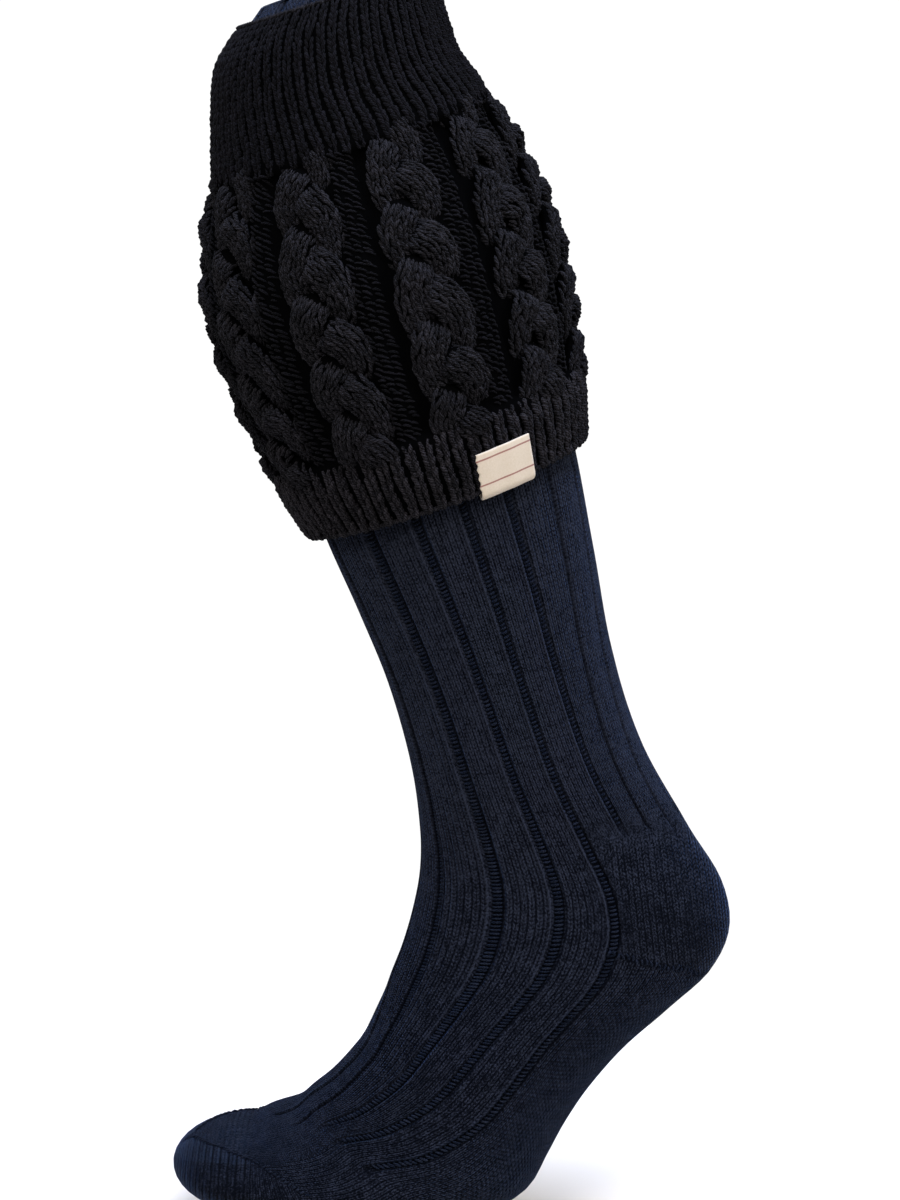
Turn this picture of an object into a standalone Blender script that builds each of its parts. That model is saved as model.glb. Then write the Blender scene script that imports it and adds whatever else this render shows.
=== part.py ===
"""A knee sock as it is worn: a fine ribbed tube of leg, heel, foot and toe, a heavy cable-knit cuff
turned down over its top, and a small ribbon label folded over the cuff's hem.

Metres, +Z up, toes towards -Y, the sock's own left and right along X. The origin is inside the
heel pocket, where the wearer's heel sits. The foot stands on tiptoe, as the sock is shown.
"""

import math
from collections import namedtuple

import bmesh
import bpy
import numpy as np

# Driving sizes, in metres
LEG_HEIGHT = 0.353  # heel seat up to the cuff's rim
LEG_LEAN = 0.123  # how far the cuff's rim leans out over the toes
CALF_DEPTH = 0.105
CALF_WIDTH = 0.098
HEEL_DEPTH = 0.119  # heel to instep, through the heel seat
HEEL_WIDTH = 0.068
FOOT_DROP = 0.116  # heel seat down to the sole under the ball of the foot
FOOT_REACH = 0.191  # heel seat forward to the tip of the toes
FOOT_DEPTH = 0.086
FOOT_WIDTH = 0.092
TOE_LENGTH = 0.030  # the rounded end of the toes
SOCK_WALL = 0.0018
RIM_PEEP = 0.007  # how far the sock's edge stands above the cuff's rim

# The narrow sunk columns between the sock's broad ribs
RIB_SINK = 0.0010
RIB_SHOULDER = 0.25  # half a sunk column's width, as a share of the rib

# The cuff
CUFF_LENGTH = 0.180
HEM_SLANT = 0.0025  # how much further the hem reaches in front, and less far at the back
CUFF_WALL = 0.0030
CUFF_GAP = 0.0005
CUFF_BULGE = 0.013  # how far the cuff stands off its seat at the fullest place in front
TOP_BAND = 0.052  # length of the ribbed band under the rim
HEM_BAND = 0.026  # length of the ribbed hem
CABLES = 10
FIRST_CABLE_DEG = 33.0
CABLE_RISE = 0.0045  # height of a plait above the knitted ground beside it
CABLE_TWIST = 0.0218  # length of one full crossing of a plait
TWIST_RISE = 0.0011

# The label
LABEL_WIDTH = 0.0215
LABEL_HEIGHT = 0.0145
LABEL_TUCK = 0.0090  # the part folded up behind the hem
LABEL_WALL = 0.0007
LABEL_GAP = 0.0005
LABEL_DEG = 115.0

# How finely the shapes are divided
POINTS_IN_CABLE = 5
ROWS_IN_TWIST = 4
BAND_ROWS = (0.0, 0.12, 0.35, 0.66, 1.0)  # rings of the cuff's top band, as shares of it
TOE_RINGS = 3

# Sections of the sock, from the rim to the root of the toes. A leg section's height and lean are
# shares of LEG_HEIGHT and LEG_LEAN, a foot section's of FOOT_DROP and FOOT_REACH. Depth runs from
# front to back and width from side to side, as shares of the sizes named by the section's girth.
# Tilt is how far the back of the section stands above its front, in degrees.
Section = namedtuple("Section", "zone girth height lean depth width tilt")
SECTIONS = (
    Section("leg", "calf", 1.018, 1.021, 0.540, 0.60, 17.8),
    Section("leg", "calf", 0.998, 1.030, 0.640, 0.69, 17.8),
    Section("leg", "calf", 0.964, 1.046, 0.755, 0.80, 17.8),
    Section("leg", "calf", 0.912, 1.027, 0.815, 0.86, 17.8),
    Section("leg", "calf", 0.860, 0.968, 0.893, 0.92, 17.8),
    Section("leg", "calf", 0.707, 0.866, 1.000, 1.00, 17.8),
    Section("leg", "calf", 0.572, 0.756, 0.962, 0.96, 17.8),
    Section("leg", "calf", 0.487, 0.685, 0.920, 0.89, 16.5),
    Section("leg", "calf", 0.404, 0.614, 0.857, 0.81, 13.5),
    Section("leg", "calf", 0.313, 0.541, 0.800, 0.73, 10.0),
    Section("leg", "calf", 0.213, 0.457, 0.826, 0.68, 6.3),
    Section("leg", "heel", 0.135, 0.372, 0.850, 0.96, 0.4),
    Section("foot", "heel", 0.259, 0.208, 0.954, 0.98, -2.0),
    Section("foot", "heel", 0.124, 0.206, 1.003, 1.00, -3.7),
    Section("foot", "heel", -0.002, 0.233, 0.981, 1.03, -4.8),
    Section("foot", "heel", -0.115, 0.284, 0.895, 1.06, -6.5),
    Section("foot", "heel", -0.217, 0.336, 0.787, 1.10, -11.7),
    Section("foot", "foot", -0.316, 0.379, 1.002, 0.86, -18.0),
    Section("foot", "foot", -0.420, 0.416, 0.969, 0.88, -22.1),
    Section("foot", "foot", -0.511, 0.450, 0.986, 0.91, -25.6),
    Section("foot", "foot", -0.595, 0.485, 1.010, 0.95, -29.0),
    Section("foot", "foot", -0.661, 0.543, 0.953, 0.98, -33.6),
    Section("foot", "foot", -0.715, 0.607, 0.848, 1.00, -40.2),
    Section("foot", "foot", -0.734, 0.685, 0.697, 1.00, -50.6),
    Section("foot", "foot", -0.734, 0.766, 0.527, 0.97, -67.3),
    Section("foot", "foot", -0.710, 0.841, 0.336, 0.86, -91.9),
)
RIM_SECTION = 1  # the section that the cuff's rim is level with

# The sunk columns, as turns in degrees from the middle of the shin, at five of the sections above.
# Each column runs from the sock's edge down to its last section. Those on the back of the leg end
# where the plain heel begins, and their turns further on only space the points of the sole.
COLUMN_SECTIONS = (7, 11, 15, 18, 21)
Column = namedtuple("Column", "calf ankle arch instep toe last_section")
COLUMNS = (
    Column(-7, 3, 4, 13, 6, 23),
    Column(19, 28, 31, 27, 22, 22),
    Column(51, 60, 60, 53, 37, 21),
    Column(75, 84, 82, 75, 50, 21),
    Column(96, 103, 105, 103, 72, 21),
    Column(116, 123, 124, 122, 99, 11),
    Column(140, 137, 142, 142, 126, 11),
    Column(165, 154, 161, 161, 153, 11),
    Column(187, 173, 180, 180, 180, 11),
    Column(208, 192, 198, 200, 207, 11),
    Column(229, 213, 216, 219, 234, 11),
    Column(250, 234, 235, 239, 261, 11),
    Column(270, 255, 253, 258, 288, 21),
    Column(290, 277, 277, 284, 310, 21),
    Column(311, 302, 303, 306, 323, 21),
    Column(332, 334, 334, 337, 341, 22),
)

# The cuff's stand-off in front and at the back, as shares of CUFF_BULGE, down its length
Stand = namedtuple("Stand", "along front back")
STANDS = (
    Stand(0.000, 0.00, 0.00),
    Stand(0.067, 0.00, 0.00),
    Stand(0.152, 0.04, 0.04),
    Stand(0.230, 0.19, 0.06),
    Stand(0.287, 0.42, 0.12),
    Stand(0.367, 0.73, 0.40),
    Stand(0.446, 0.88, 0.55),
    Stand(0.516, 1.00, 0.69),
    Stand(0.630, 0.88, 0.70),
    Stand(0.750, 0.76, 0.62),
    Stand(0.842, 0.62, 0.50),
    Stand(0.925, 0.46, 0.35),
    Stand(1.000, 0.23, 0.14),
)
CABLE_FADE = 0.04  # share of the cuff's length in which the cables rise from the bands

COLOURS = {
    "sock_body": ((0.010, 0.014, 0.028, 1.0), 0.85),
    "cable_cuff": ((0.006, 0.006, 0.008, 1.0), 0.90),
    "woven_label": ((0.68, 0.60, 0.50, 1.0), 0.70),
}


def curve_value(knots, values, at):
    """A smooth curve through values at knots, which may be plain numbers or rows of them."""
    last = len(knots) - 1
    i = min(max(int(np.searchsorted(knots, at, side="right")) - 1, 0), last - 1)

    def slope(j):
        low = max(j - 1, 0)
        high = min(j + 1, last)
        return (values[high] - values[low]) / (knots[high] - knots[low])

    span = knots[i + 1] - knots[i]
    t = (at - knots[i]) / span
    rise = 3 * t**2 - 2 * t**3
    leave = (t**3 - 2 * t**2 + t) * span
    arrive = (t**3 - t**2) * span
    return values[i] * (1 - rise) + values[i + 1] * rise + slope(i) * leave + slope(i + 1) * arrive


def placed(section):
    """A section's centre (y, z), depth, width and tilt in metres and radians."""
    high, far = (LEG_HEIGHT, LEG_LEAN) if section.zone == "leg" else (FOOT_DROP, FOOT_REACH)
    deep, wide = {
        "calf": (CALF_DEPTH, CALF_WIDTH),
        "heel": (HEEL_DEPTH, HEEL_WIDTH),
        "foot": (FOOT_DEPTH, FOOT_WIDTH),
    }[section.girth]
    return np.array(
        (
            -section.lean * far,
            section.height * high,
            section.depth * deep,
            section.width * wide,
            math.radians(section.tilt),
        )
    )


RINGS = np.array([placed(section) for section in SECTIONS])
STEPS = np.hypot(*np.diff(RINGS[:, :2], axis=0).T)
PATH = np.concatenate(([0.0], np.cumsum(STEPS)))
CUFF_START = PATH[RIM_SECTION] + (RIM_PEEP - STEPS[0])


def ring_point(ring, turn, sink=0.0):
    """A point of a ring, turn measured from the middle of the shin round by +X."""
    y, z, depth, width, tilt = ring
    ahead = (depth / 2 - sink) * math.cos(turn)
    aside = (width / 2 - sink) * math.sin(turn)
    return np.array((aside, y - ahead * math.cos(tilt), z - ahead * math.sin(tilt)))


def sock_point(along, turn):
    """A point of the sock's outer face, along measured down its middle line from its edge."""
    return ring_point(curve_value(PATH, RINGS, along), turn)


def sock_normal(along, turn):
    """The outward direction of the sock's outer face."""
    small = 0.001
    down = sock_point(along + small, turn) - sock_point(along - small, turn)
    round_ = sock_point(along, turn + small) - sock_point(along, turn - small)
    normal = np.cross(down, round_)
    return normal / np.linalg.norm(normal)


def fade(value, start, end):
    """0 before start, 1 after end, and smooth between them."""
    t = min(max((value - start) / (end - start), 0.0), 1.0)
    return t * t * (3 - 2 * t)


def column_turns(along):
    """The turn of each sunk column at a place along the sock, in radians."""
    knots = PATH[list(COLUMN_SECTIONS)]
    table = np.array([column[: len(COLUMN_SECTIONS)] for column in COLUMNS], float).T
    held = min(max(along, knots[0]), knots[-1])
    return np.radians(curve_value(knots, table, held))


def rib_points(along):
    """The turn and the sink of each point of the sock's ring at a place along it. A column has a
    sunk point in its middle and a shoulder on each side."""
    turns = column_turns(along)
    points = []
    for number, column in enumerate(COLUMNS):
        following = turns[(number + 1) % len(COLUMNS)]
        width = (following - turns[number]) % (2 * math.pi)
        sunk = along <= PATH[column.last_section] + CUFF_GAP
        points.append((turns[number], RIB_SINK if sunk else 0.0))
        points += [(turns[number] + share * width, 0.0) for share in (RIB_SHOULDER, 1 - RIB_SHOULDER)]
    return points


def toe_rings():
    """The rings of the rounded toe end, and its tip, past the last section."""
    y, z, depth, width, tilt = RINGS[-1]
    ahead = np.array((math.sin(tilt), -math.cos(tilt)))
    rings = []
    for step in range(1, TOE_RINGS + 1):
        angle = math.pi / 2 * step / (TOE_RINGS + 1)
        centre = np.array((y, z)) + ahead * TOE_LENGTH * math.sin(angle)
        narrow = math.cos(angle)
        rings.append((*centre, depth * narrow, width * narrow, tilt))
    tip = np.array((y, z)) + ahead * TOE_LENGTH
    return rings, np.array((0.0, *tip))


def new_object(name, mesh_rows, closed_tip=None):
    """An object from a grid of points whose rows are rings, each joined to the next."""
    mesh = bmesh.new()
    rows = [[mesh.verts.new(point) for point in row] for row in mesh_rows]
    count = len(rows[0])
    for upper, lower in zip(rows, rows[1:]):
        for i in range(count):
            j = (i + 1) % count
            mesh.faces.new((upper[i], lower[i], lower[j], upper[j]))
    if closed_tip is not None:
        tip = mesh.verts.new(closed_tip)
        for i in range(count):
            mesh.faces.new((rows[-1][i], tip, rows[-1][(i + 1) % count]))
    return finished(name, mesh)


def finished(name, mesh):
    """An object from a bmesh, in the sock's collection, with its material."""
    data = bpy.data.meshes.new(name)
    mesh.to_mesh(data)
    mesh.free()
    thing = bpy.data.objects.new(name, data)
    COLLECTION.objects.link(thing)
    data.materials.append(material(name))
    data.shade_smooth()
    return thing


def material(name):
    colour, roughness = COLOURS[name]
    made = bpy.data.materials.new(name)
    made.use_nodes = True
    shader = made.node_tree.nodes["Principled BSDF"]
    shader.inputs["Base Color"].default_value = colour
    shader.inputs["Roughness"].default_value = roughness
    shader.inputs["Metallic"].default_value = 0.0
    return made


def thicken(thing, wall):
    """A wall built inwards from an open outer surface."""
    solid = thing.modifiers.new("wall", "SOLIDIFY")
    solid.thickness = wall
    solid.offset = -1.0


def sock_rows():
    """Where the sock's rings lie along its middle line. Those under the cuff's top band match the
    band's own, so that the two walls run side by side."""
    band = [CUFF_START + TOP_BAND * share for share in BAND_ROWS]
    clear = band[-1] + (band[-1] - band[-2]) / 2
    return [0.0] + band + [along for along in PATH if along > clear]


def make_sock_body():
    """The fine-knit tube: broad ribs between sunk columns down the leg and over the foot."""
    rows = []
    for along in sock_rows():
        ring = curve_value(PATH, RINGS, along)
        rows.append([ring_point(ring, turn, sink) for turn, sink in rib_points(along)])
    rings, tip = toe_rings()
    for ring in rings:
        rows.append([ring_point(ring, turn) for turn, _ in rib_points(PATH[-1])])
    thicken(new_object("sock_body", rows, tip), SOCK_WALL)


def stand_off(down, turn):
    """How far the cuff's outer face stands off its seat, down being a share of its length."""
    knots = np.array([stand.along for stand in STANDS])
    front = curve_value(knots, np.array([stand.front for stand in STANDS]), down)
    back = curve_value(knots, np.array([stand.back for stand in STANDS]), down)
    side = (front + back) / 2 + (front - back) / 2 * math.cos(turn)
    return CUFF_BULGE * max(side, 0.0)


def cable_relief(down, turn):
    """How far the cuff's face lies below a plait's top: 0 on the plaits, CABLE_RISE between."""
    step = 2 * math.pi / CABLES
    place = (turn - math.radians(FIRST_CABLE_DEG) + step / 2) % step - step / 2
    side = 2 * place / step
    top = TOP_BAND / CUFF_LENGTH
    hem = 1 - HEM_BAND / CUFF_LENGTH
    present = fade(down, top, top + CABLE_FADE) * (1 - fade(down, hem - CABLE_FADE, hem))
    ground = fade(abs(side), 0.35, 0.95)
    twist = 2 * math.pi * down * CUFF_LENGTH / CABLE_TWIST
    crossing = TWIST_RISE * math.sin(twist) * math.sin(math.pi * side) * (1 - ground)
    return present * (crossing - CABLE_RISE * ground)


def cuff_point(down, turn, lift=0.0):
    """A point of the cuff's outer face, lifted off it by lift."""
    along = CUFF_START + down * (CUFF_LENGTH + HEM_SLANT * math.cos(turn))
    clear = max(stand_off(down, turn) + cable_relief(down, turn), 0.0)
    out = CUFF_GAP + CUFF_WALL + clear + lift
    return sock_point(along, turn) + sock_normal(along, turn) * out


def cuff_rows():
    """Where the cuff's rings lie, as shares of its length."""
    top = TOP_BAND / CUFF_LENGTH
    hem = 1 - HEM_BAND / CUFF_LENGTH
    step = CABLE_TWIST / ROWS_IN_TWIST / CUFF_LENGTH
    rows = [top * share for share in BAND_ROWS[:-1]]
    rows += list(np.linspace(top, hem, round((hem - top) / step) + 1))
    rows += [hem + (1 - hem) * share for share in (0.36, 0.68, 1.0)]
    return rows


def make_cable_cuff():
    """The heavy cuff: a ribbed band, a panel of plaited cables that bulges away from the leg, and a
    ribbed hem that comes back to it."""
    step = 2 * math.pi / (CABLES * POINTS_IN_CABLE)
    start = math.radians(FIRST_CABLE_DEG) + math.pi / CABLES
    turns = [start + step * i for i in range(CABLES * POINTS_IN_CABLE)]
    rows = [[cuff_point(down, turn) for turn in turns] for down in cuff_rows()]
    thicken(new_object("cable_cuff", rows), CUFF_WALL)


def label_turn(down, across):
    """The turn that lies a distance across along the hem from the label's middle."""
    middle = math.radians(LABEL_DEG)
    small = 0.01
    reach = np.linalg.norm(cuff_point(down, middle + small) - cuff_point(down, middle - small))
    return middle + across * 2 * small / reach


def make_woven_label():
    """The ribbon label: down the outside of the hem, round its edge and up behind it."""
    columns = 8
    bend_steps = 4
    lift = LABEL_GAP + LABEL_WALL
    drop = lift + CUFF_WALL / 2
    profile = []
    for share in np.linspace(0.0, 1.0, 5):
        profile.append((1.0 - (1.0 - share) * LABEL_HEIGHT / CUFF_LENGTH, lift, 0.0))
    for step in range(1, bend_steps):
        angle = math.pi * step / bend_steps
        centre = -CUFF_WALL / 2
        profile.append((1.0, centre + drop * math.cos(angle), drop * math.sin(angle)))
    for share in np.linspace(0.0, 1.0, 3):
        profile.append((1.0 - share * LABEL_TUCK / CUFF_LENGTH, -CUFF_WALL - lift, 0.0))
    mesh = bmesh.new()
    grid = []
    for down, out, below in profile:
        row = []
        for across in np.linspace(-LABEL_WIDTH / 2, LABEL_WIDTH / 2, columns + 1):
            turn = label_turn(down, across)
            edge = cuff_point(1.0, turn) - cuff_point(0.99, turn)
            edge /= np.linalg.norm(edge)
            point = cuff_point(down, turn, out) + edge * below
            row.append(mesh.verts.new(point))
        grid.append(row)
    for upper, lower in zip(grid, grid[1:]):
        for i in range(columns):
            mesh.faces.new((upper[i], lower[i], lower[i + 1], upper[i + 1]))
    thing = finished("woven_label", mesh)
    thicken(thing, LABEL_WALL)


for old in list(bpy.data.objects):
    bpy.data.objects.remove(old)
COLLECTION = bpy.data.collections.new("knee_sock")
bpy.context.scene.collection.children.link(COLLECTION)
make_sock_body()
make_cable_cuff()
make_woven_label()
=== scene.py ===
"""The looks of a knee sock: the fine ribbed knit of its leg and foot, its heavy cable-knit cuff and
the ribbon label on the cuff's hem.

Metres, +Z up. Along runs down the sock's middle line from its edge, down runs down the cuff from
its rim, and turn goes round from the middle of the shin by +X. A lift is measured out from a face.
"""

import math
from collections import namedtuple

import bpy
import numpy as np
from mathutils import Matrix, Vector


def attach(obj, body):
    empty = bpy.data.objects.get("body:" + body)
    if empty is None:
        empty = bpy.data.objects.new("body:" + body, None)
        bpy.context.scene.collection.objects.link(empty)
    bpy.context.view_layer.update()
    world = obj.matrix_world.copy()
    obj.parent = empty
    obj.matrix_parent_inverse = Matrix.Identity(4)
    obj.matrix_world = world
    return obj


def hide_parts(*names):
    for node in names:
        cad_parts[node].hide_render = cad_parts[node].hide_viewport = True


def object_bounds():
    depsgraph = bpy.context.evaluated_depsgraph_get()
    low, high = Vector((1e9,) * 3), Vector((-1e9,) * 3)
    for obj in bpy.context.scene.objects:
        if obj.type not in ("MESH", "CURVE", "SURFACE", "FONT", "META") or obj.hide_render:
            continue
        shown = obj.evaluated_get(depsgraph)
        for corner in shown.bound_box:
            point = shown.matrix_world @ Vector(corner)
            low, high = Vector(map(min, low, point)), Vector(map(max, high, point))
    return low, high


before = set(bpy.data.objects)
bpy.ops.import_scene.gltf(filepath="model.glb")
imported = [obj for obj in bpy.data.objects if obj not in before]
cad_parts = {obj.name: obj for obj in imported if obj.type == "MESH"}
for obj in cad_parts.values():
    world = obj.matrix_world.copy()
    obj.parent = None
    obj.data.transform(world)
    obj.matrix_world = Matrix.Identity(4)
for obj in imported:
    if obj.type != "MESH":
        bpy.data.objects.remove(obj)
CAD_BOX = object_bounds()
RANDOM = np.random.default_rng(7)

# Driving sizes, in metres, as the solids have them
LEG_HEIGHT = 0.353
LEG_LEAN = 0.123
CALF_DEPTH = 0.105
CALF_WIDTH = 0.098
HEEL_DEPTH = 0.119
HEEL_WIDTH = 0.068
FOOT_DROP = 0.116
FOOT_REACH = 0.191
FOOT_DEPTH = 0.086
FOOT_WIDTH = 0.092
TOE_LENGTH = 0.030
SOCK_WALL = 0.0018
RIM_PEEP = 0.007
RIB_SINK = 0.0010
CUFF_LENGTH = 0.180
HEM_SLANT = 0.0025
CUFF_WALL = 0.0030
CUFF_GAP = 0.0005
CUFF_BULGE = 0.013
TOP_BAND = 0.052
HEM_BAND = 0.026
CABLES = 10
FIRST_CABLE = math.radians(33.0)
LABEL_WIDTH = 0.0215
LABEL_HEIGHT = 0.0145
LABEL_TUCK = 0.0090
LABEL_WALL = 0.0007
LABEL_GAP = 0.0005
LABEL_TURN = math.radians(115.0)

# The fine knit of the leg and foot
RIBS = 16
WALES_IN_RIB = 8  # the two in the middle of a sunk column are purl
POINTS_IN_WALE = 6
COURSE = 0.00152
WALE_RIDGE = 0.00030
WALE_WIDTH = 0.00237
HEEL_WALE = 0.0023
HEEL_WALE_LEAN = 0.12  # how far back a wale of the heel runs for each length down
HIDDEN_START = 0.016  # the stretch under the cuff, which is made coarser
HIDDEN_END = 0.172
HIDDEN_STEP = 0.012
SEEN_STEP = 0.0036
TOE_ARC = 0.034
TOE_CLOSE = 0.97  # where the toe's rings end and its tip closes them, as a share of its arc
INSIDE_RINGS = 110
HEEL_TOP = 0.35  # a sunk column that ends before this ends at the heel's cup
FOOT_MIDDLE = 0.45  # parts the shaped knit of the heel from that of the toe

# The sunk columns. A place across one is a share of the rib between two of them
OPEN_COLUMNS = (2, 3, 4, 5)  # wide enough to show their purl bars; the others are tight
TIGHT_BY = 0.025  # how much nearer to its middle the sides of a tight column lie
TIGHT_EDGE = 0.25  # share of an open column's fuller wale that a tight one has
TIGHT_SLIT = 0.75  # share of the slit's depth that a whole tight column has
TIGHT_SHADE = 1.6  # how much darker the painted shade of a tight column is
COLUMN_SIDE = (0.080, 0.112)  # where a column's side begins and ends
HEEL_FADE = (-0.009, -0.003)  # where a column fades out at the heel, measured on from its end
TOE_FADE = (-0.004, 0.010)
FOOT_FADE = (0.38, 0.46)  # where the columns' painted shade grows weaker along the foot
FOOT_LOSS = 0.45  # how much weaker
RIB_CROWN = 0.0003  # how far a rib's middle stands above its sides
EDGE_RIDGE = 0.00075  # the fuller wale on one side of a column
EDGE_PLACE = -0.135
EDGE_SPREAD = 0.024
SLIT_DEEP = 0.0008  # the slit along its other side
SLIT_PLACE = 0.096
SLIT_SPREAD = 0.014

# The heavy knit of the cuff
BAR_NUMBERS = 997  # the bars' numbers start again after this many
BAND_RIBS = 65
HEAVY_COURSE = 0.0021
LEG_COURSES = 1.8  # length of one leg of a stitch, in courses
PLAIT_START = 0.061  # where the first lobe towards +turn begins
PLAIT_LENGTH = 0.0654  # one strand's whole wave
STRANDS = 3
STRAND_WALES = 4
STRAND_SWING = 0.190  # how far a strand swings from the plait's middle, as a share of the cable step
STRAND_WIDTH = 0.335  # as a share of the cable step
STRAND_DEEP = 0.0032  # how far a strand rises and sinks
STRAND_CROWN = 0.0033  # how far a strand's middle stands above its edges
PLAIT_LIFT = -0.0060  # the plait's middle level, from the cuff's outer face
# A strand's level over each half of its wave: it comes up steeply in the plait's middle, runs out
# over its neighbour, sinks along the plait's edge and goes back in below the next strand
STRAND_SHARES = (0.0, 0.05, 0.10, 0.20, 0.32, 0.46, 0.60, 0.70, 0.80, 0.92, 0.97, 1.0)
STRAND_LEVELS = (-1.1, 0.20, 1.0, 1.05, 0.65, 0.25, -0.2, -0.7, -1.1, -1.3, -1.3, -1.1)
STRAND_LATE = 0.05  # how much later a strand's second half wave rises, as a share of the half
STRAND_HIDDEN = (0.72, 0.97)  # the share of each half wave that lies below another strand
STRAND_NARROW = (0.42, 0.09)  # how much narrower a strand is where it dips, and over what share
STRAND_SHIFT = (0.045, 0.06, 0.14)  # its shift there, as a share of the cable step, and its place
PLAIT_OVERLAP = 0.004  # how far the plaits run on below the bands
BAND_START = 0.0006
BAND_SPREAD = 0.68  # how far a band's stitches reach across their rib
BAND_FULL = 0.185  # radius of a band's stitches, as a share of their rib
BAND_DIP = (0.0016, 0.007)  # how much lower a band lies where the cables begin, and over what length
GROUND_LIFT = -0.0013  # the backing behind the ribs of the bands
GROUND_DEEP = 0.0052  # how far the ground between the cables lies below the cuff's outer face
GROUND_WALL = 0.0018
GROUND_GRID = (100, 160)  # rows down the ground's outer face, and columns round it
BANK = (0.0022, 0.40, 0.12)  # a bank in that ground: height, and place as shares of the cable step
GROOVE = (0.0012, 0.63, 0.06)

Section = namedtuple("Section", "zone girth height lean depth width tilt")
SECTIONS = (
    Section("leg", "calf", 1.018, 1.021, 0.540, 0.60, 17.8),
    Section("leg", "calf", 0.998, 1.030, 0.640, 0.69, 17.8),
    Section("leg", "calf", 0.964, 1.046, 0.755, 0.80, 17.8),
    Section("leg", "calf", 0.912, 1.027, 0.815, 0.86, 17.8),
    Section("leg", "calf", 0.860, 0.968, 0.893, 0.92, 17.8),
    Section("leg", "calf", 0.707, 0.866, 1.000, 1.00, 17.8),
    Section("leg", "calf", 0.572, 0.756, 0.962, 0.96, 17.8),
    Section("leg", "calf", 0.487, 0.685, 0.920, 0.89, 16.5),
    Section("leg", "calf", 0.404, 0.614, 0.857, 0.81, 13.5),
    Section("leg", "calf", 0.313, 0.541, 0.800, 0.73, 10.0),
    Section("leg", "calf", 0.213, 0.457, 0.826, 0.68, 6.3),
    Section("leg", "heel", 0.135, 0.372, 0.850, 0.96, 0.4),
    Section("foot", "heel", 0.259, 0.208, 0.954, 0.98, -2.0),
    Section("foot", "heel", 0.124, 0.206, 1.003, 1.00, -3.7),
    Section("foot", "heel", -0.002, 0.233, 0.981, 1.03, -4.8),
    Section("foot", "heel", -0.115, 0.284, 0.895, 1.06, -6.5),
    Section("foot", "heel", -0.217, 0.336, 0.787, 1.10, -11.7),
    Section("foot", "foot", -0.316, 0.379, 1.002, 0.86, -18.0),
    Section("foot", "foot", -0.420, 0.416, 0.969, 0.88, -22.1),
    Section("foot", "foot", -0.511, 0.450, 0.986, 0.91, -25.6),
    Section("foot", "foot", -0.595, 0.485, 1.010, 0.95, -29.0),
    Section("foot", "foot", -0.661, 0.543, 0.953, 0.98, -33.6),
    Section("foot", "foot", -0.715, 0.607, 0.848, 1.00, -40.2),
    Section("foot", "foot", -0.734, 0.685, 0.697, 1.00, -50.6),
    Section("foot", "foot", -0.734, 0.766, 0.527, 0.97, -67.3),
    Section("foot", "foot", -0.710, 0.841, 0.336, 0.86, -91.9),
)
RIM_SECTION = 1

COLUMN_SECTIONS = (7, 11, 15, 18, 21)
Column = namedtuple("Column", "calf ankle arch instep toe last_section")
COLUMNS = (
    Column(-7, 3, 4, 13, 6, 23),
    Column(19, 28, 31, 27, 22, 22),
    Column(51, 60, 60, 53, 37, 21),
    Column(75, 84, 82, 75, 50, 21),
    Column(96, 103, 105, 103, 72, 21),
    Column(116, 123, 124, 122, 99, 11),
    Column(140, 137, 142, 142, 126, 11),
    Column(165, 154, 161, 161, 153, 11),
    Column(187, 173, 180, 180, 180, 11),
    Column(208, 192, 198, 200, 207, 11),
    Column(229, 213, 216, 219, 234, 11),
    Column(250, 234, 235, 239, 261, 11),
    Column(270, 255, 253, 258, 288, 21),
    Column(290, 277, 277, 284, 310, 21),
    Column(311, 302, 303, 306, 323, 21),
    Column(332, 334, 334, 337, 341, 22),
)

Stand = namedtuple("Stand", "along front back")
STANDS = (
    Stand(0.000, 0.00, 0.00),
    Stand(0.067, 0.00, 0.00),
    Stand(0.152, 0.04, 0.04),
    Stand(0.230, 0.19, 0.06),
    Stand(0.287, 0.42, 0.12),
    Stand(0.367, 0.73, 0.40),
    Stand(0.446, 0.88, 0.55),
    Stand(0.516, 1.00, 0.69),
    Stand(0.630, 0.88, 0.70),
    Stand(0.750, 0.76, 0.62),
    Stand(0.842, 0.62, 0.50),
    Stand(0.925, 0.46, 0.35),
    Stand(1.000, 0.23, 0.14),
)

# Seams of the shaped heel and toe, as rows of a place along the sock (mm) and a turn (degrees)
HEEL_GORE = ((362, 103), (364, 109), (365.5, 116), (367, 123), (368.5, 131), (370, 141), (373.5, 154))
TOE_GORE = ((547, 8), (543, 22), (537, 33), (533, 40), (526, 48), (514, 59), (505, 72), (502, 78))
HEEL_CUP_START = 318
TOE_GORE_END = 556  # where the toe's seam reaches the middle of the foot's top
HEEL_ROUND = 0.05  # metres of the face for each radian of turn, at the heel and at the toe
TOE_ROUND = 0.03
GORE_START = 0.3595  # the heel's seam lies past this


def curve_values(knots, values, at):
    """A smooth curve through the rows of values at knots, read at each number of at."""
    knots, values, at = (np.asarray(item, float) for item in (knots, values, at))
    count = len(knots)
    flat = values.reshape(count, -1)
    low = np.maximum(np.arange(count) - 1, 0)
    high = np.minimum(np.arange(count) + 1, count - 1)
    slopes = (flat[high] - flat[low]) / (knots[high] - knots[low])[:, None]
    i = np.clip(np.searchsorted(knots, at, side="right") - 1, 0, count - 2)
    span = (knots[i + 1] - knots[i])[..., None]
    t = (at - knots[i])[..., None] / span
    rise = 3 * t**2 - 2 * t**3
    leave = (t**3 - 2 * t**2 + t) * span
    arrive = (t**3 - t**2) * span
    found = flat[i] * (1 - rise) + flat[i + 1] * rise + slopes[i] * leave + slopes[i + 1] * arrive
    return found.reshape(at.shape + values.shape[1:])


def fade(value, start, end):
    """0 before start, 1 after end, and smooth between them."""
    t = np.clip((value - start) / (end - start), 0.0, 1.0)
    return t * t * (3 - 2 * t)


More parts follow.
